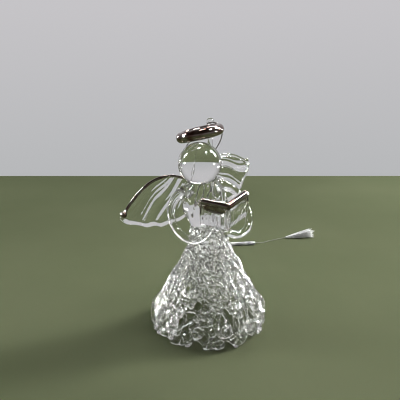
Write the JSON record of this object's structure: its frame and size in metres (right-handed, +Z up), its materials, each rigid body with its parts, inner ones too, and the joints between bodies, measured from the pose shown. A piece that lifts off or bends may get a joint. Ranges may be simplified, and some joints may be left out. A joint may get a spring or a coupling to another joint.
{
  "type": "glass angel ornament",
  "caption": "Lampworked clear glass angel with silvered halo, ribbed wings and open book on a spun-glass lace skirt, with a thread for hanging.",
  "frame": {"origin": "on the surface it stands on, under the middle of the figure's box without the thread", "axes": "+Z up, the figure faces -Y, its left wing points to +X"},
  "size_m": [0.0981, 0.0718, 0.0596],
  "materials": {
    "clear_glass": "fire polished, clear",
    "spun_glass": "drawn glass filament, looped and fused",
    "silvered_glass": "mirror silver on glass, slightly warm",
    "clear_thread": "thin twisted grey thread",
    "white_thread": "soft white thread, frayed at the end"
  },
  "bodies": {
    "root": {"head": "clear_glass", "bodice": "clear_glass", "waist_band": "spun_glass", "halo": "silvered_glass", "halo_post": "clear_glass", "hanging_eyelet": "clear_glass", "right_arm": "clear_glass", "left_arm": "clear_glass", "right_hand": "clear_glass", "left_hand": "clear_glass", "book_right_leaf": "clear_glass", "book_left_leaf": "clear_glass", "book_spine": "clear_glass", "book_right_rim": "silvered_glass", "book_left_rim": "silvered_glass", "right_wing": "clear_glass", "left_wing": "clear_glass", "right_wing_rod": "silvered_glass", "left_wing_rod": "clear_glass", "right_wing_tip": "silvered_glass", "left_wing_tip": "clear_glass", "skirt_row_1": "spun_glass", "skirt_row_2": "spun_glass", "skirt_row_3": "spun_glass", "skirt_row_4": "spun_glass", "skirt_row_5": "spun_glass", "skirt_row_6": "spun_glass", "skirt_row_7": "spun_glass", "skirt_row_8": "spun_glass", "thread_left": "clear_thread", "thread_right": "clear_thread", "thread_wrap": "white_thread", "thread_tail": "white_thread", "tassel": "white_thread"}
  },
  "joints": []
}
